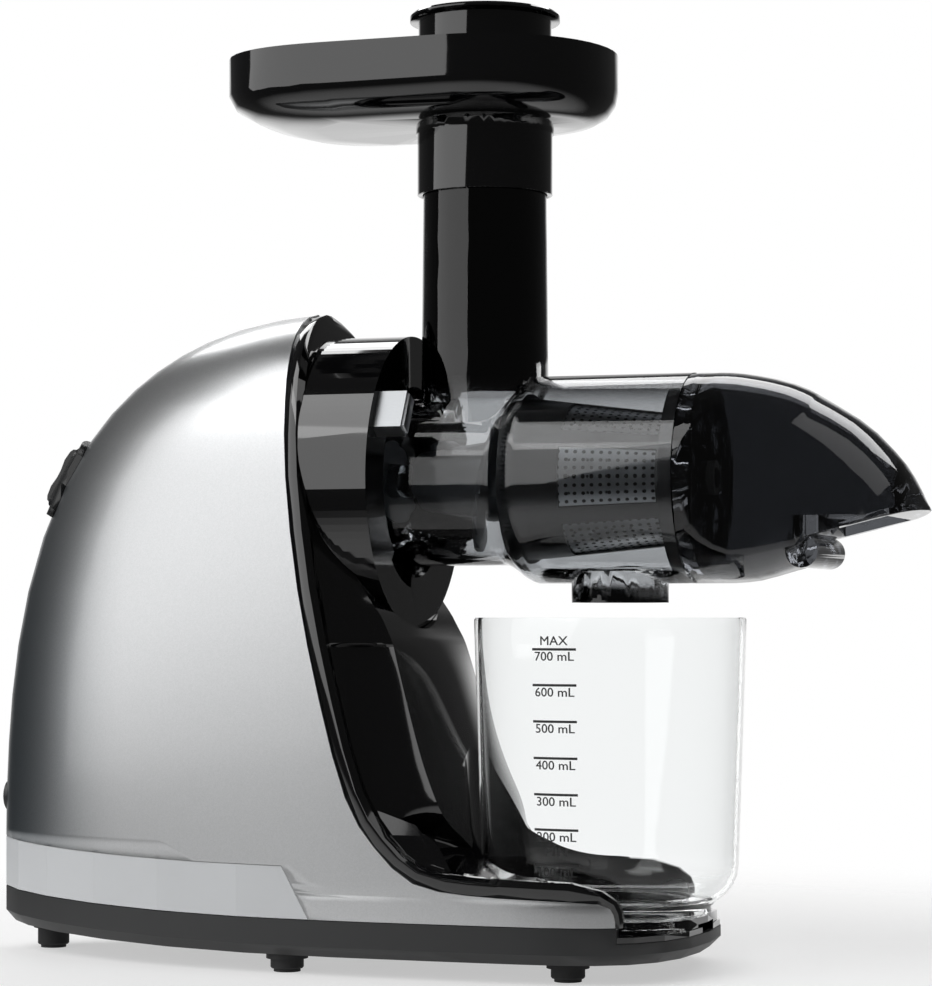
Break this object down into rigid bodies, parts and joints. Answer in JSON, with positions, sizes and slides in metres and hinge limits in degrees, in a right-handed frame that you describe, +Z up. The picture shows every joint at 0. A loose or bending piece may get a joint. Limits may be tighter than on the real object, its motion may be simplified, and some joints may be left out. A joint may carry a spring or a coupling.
{
  "type": "cold press juicer",
  "caption": "Horizontal slow juicer: silver motor base, smoked juicing drum with auger and strainer, feeding chute with tray and pusher, hooded pulp spout and a clear juice cup.",
  "frame": {"origin": "on the floor at the middle of the overall length and width", "axes": "+X along the juicing axis towards the pulp spout, +Z up, +Y to the side away from the lock button"},
  "size_m": [0.37, 0.126, 0.3593],
  "materials": {
    "silver_housing": "silver metallic paint on moulded plastic",
    "light_trim": "satin light grey",
    "dark_pan": "satin charcoal",
    "foot_rubber": "matte",
    "black_gloss": "piano gloss",
    "smoked_clear": "smoked clear, polished",
    "clear_cup": "clear, polished",
    "strainer_black": "satin",
    "perforated_steel": "perforated sheet",
    "auger_grey": "satin",
    "bright_steel": "turned",
    "button_chrome": "polished",
    "switch_black": "fine texture",
    "seal_rubber": "soft",
    "board_green": "coated board with parts",
    "case_aluminium": "die cast",
    "gear_plastic": "natural acetal",
    "gear_iron": "sintered",
    "lamination_steel": "stacked sheet",
    "copper": "copper",
    "carbon": "graphite"
  },
  "bodies": {
    "base": {"bottom_pan": "dark_pan", "rubber_feet": "foot_rubber", "pan_screws": "bright_steel", "housing_shell": "silver_housing", "side_trim": "light_trim", "front_frame": "black_gloss", "drive_collar": "black_gloss", "collar_screws": "bright_steel", "shaft_seal": "seal_rubber", "output_bearing": "bright_steel", "lock_spring": "bright_steel", "switch_bezel": "switch_black", "cord_gland": "switch_black", "control_board": "board_green", "gearbox_cover": "case_aluminium", "gearbox_case": "case_aluminium", "gearbox_screws": "bright_steel", "motor_bracket": "case_aluminium", "motor_rear_bracket": "case_aluminium", "motor_spacers": "bright_steel", "stator_core": "lamination_steel", "stator_windings": "copper", "front_bearing": "bright_steel", "rear_bearing": "bright_steel", "carbon_brushes": "carbon"},
    "motor_rotor": {"motor_shaft": "bright_steel", "rotor_core": "lamination_steel", "commutator": "copper", "cooling_fan": "gear_plastic"},
    "first_stage": {"first_shaft": "bright_steel", "first_gear": "gear_plastic"},
    "second_stage": {"second_shaft": "bright_steel", "second_gear": "gear_plastic"},
    "output_drive": {"output_shaft": "bright_steel", "output_gear": "gear_iron"},
    "juicing_unit": {"juicing_drum": "smoked_clear", "drum_seal": "seal_rubber", "strainer_frame": "strainer_black", "strainer_mesh": "perforated_steel"},
    "auger": {"auger": "auger_grey", "auger_hub": "bright_steel"},
    "end_cap": {"end_cap": "smoked_clear", "cap_bush": "gear_plastic"},
    "tray": {"feeding_tray": "black_gloss"},
    "pusher": {"pusher": "black_gloss"},
    "cup": {"juice_cup": "clear_cup"},
    "lock_button": {"lock_button": "button_chrome"},
    "power_rocker": {"rocker_switch": "switch_black"}
  },
  "joints": [
    {"name": "motor_spin", "type": "hinge", "parent": "base", "child": "motor_rotor", "pos_m": [-0.065, 0, 0.0963], "axis": [1, 0, 0], "continuous": true},
    {"name": "first_gear_spin", "type": "hinge", "parent": "base", "child": "first_stage", "pos_m": [-0.065, 0, 0.1179], "axis": [1, 0, 0], "continuous": true},
    {"name": "second_gear_spin", "type": "hinge", "parent": "base", "child": "second_stage", "pos_m": [-0.065, 0, 0.1467], "axis": [1, 0, 0], "continuous": true},
    {"name": "output_spin", "type": "hinge", "parent": "base", "child": "output_drive", "pos_m": [-0.065, 0, 0.1827], "axis": [1, 0, 0], "continuous": true},
    {"name": "drum_turn", "type": "hinge", "parent": "base", "child": "juicing_unit", "pos_m": [0.065, 0, 0.1827], "axis": [-1, 0, 0], "range_deg": [0, 30]},
    {"name": "auger_spin", "type": "hinge", "parent": "base", "child": "auger", "pos_m": [-0.065, 0, 0.1827], "axis": [1, 0, 0], "continuous": true},
    {"name": "cap_pull", "type": "slide", "parent": "juicing_unit", "child": "end_cap", "axis": [1, 0, 0], "range_m": [0, 0.07]},
    {"name": "tray_lift", "type": "slide", "parent": "juicing_unit", "child": "tray", "axis": [0, 0, 1], "range_m": [0, 0.035]},
    {"name": "pusher_lift", "type": "slide", "parent": "tray", "child": "pusher", "axis": [0, 0, 1], "range_m": [0, 0.15]},
    {"name": "cup_slide", "type": "slide", "parent": "base", "child": "cup", "axis": [1, 0, 0], "range_m": [0, 0.12]},
    {"name": "lock_press", "type": "slide", "parent": "base", "child": "lock_button", "axis": [-1, 0, 0], "range_m": [0, 0.003], "stiffness_N_per_m": 900, "springref_m": -0.001},
    {"name": "rocker_tilt", "type": "hinge", "parent": "base", "child": "power_rocker", "pos_m": [-0.15454, 0, 0.18499], "axis": [0, 1, 0], "range_deg": [-5, 5]}
  ],
  "couplings": [
    {"joint": "first_gear_spin", "follows": "motor_spin", "ratio": -0.2},
    {"joint": "second_gear_spin", "follows": "motor_spin", "ratio": 0.04},
    {"joint": "output_spin", "follows": "motor_spin", "ratio": -0.008},
    {"joint": "auger_spin", "follows": "motor_spin", "ratio": -0.008}
  ]
}
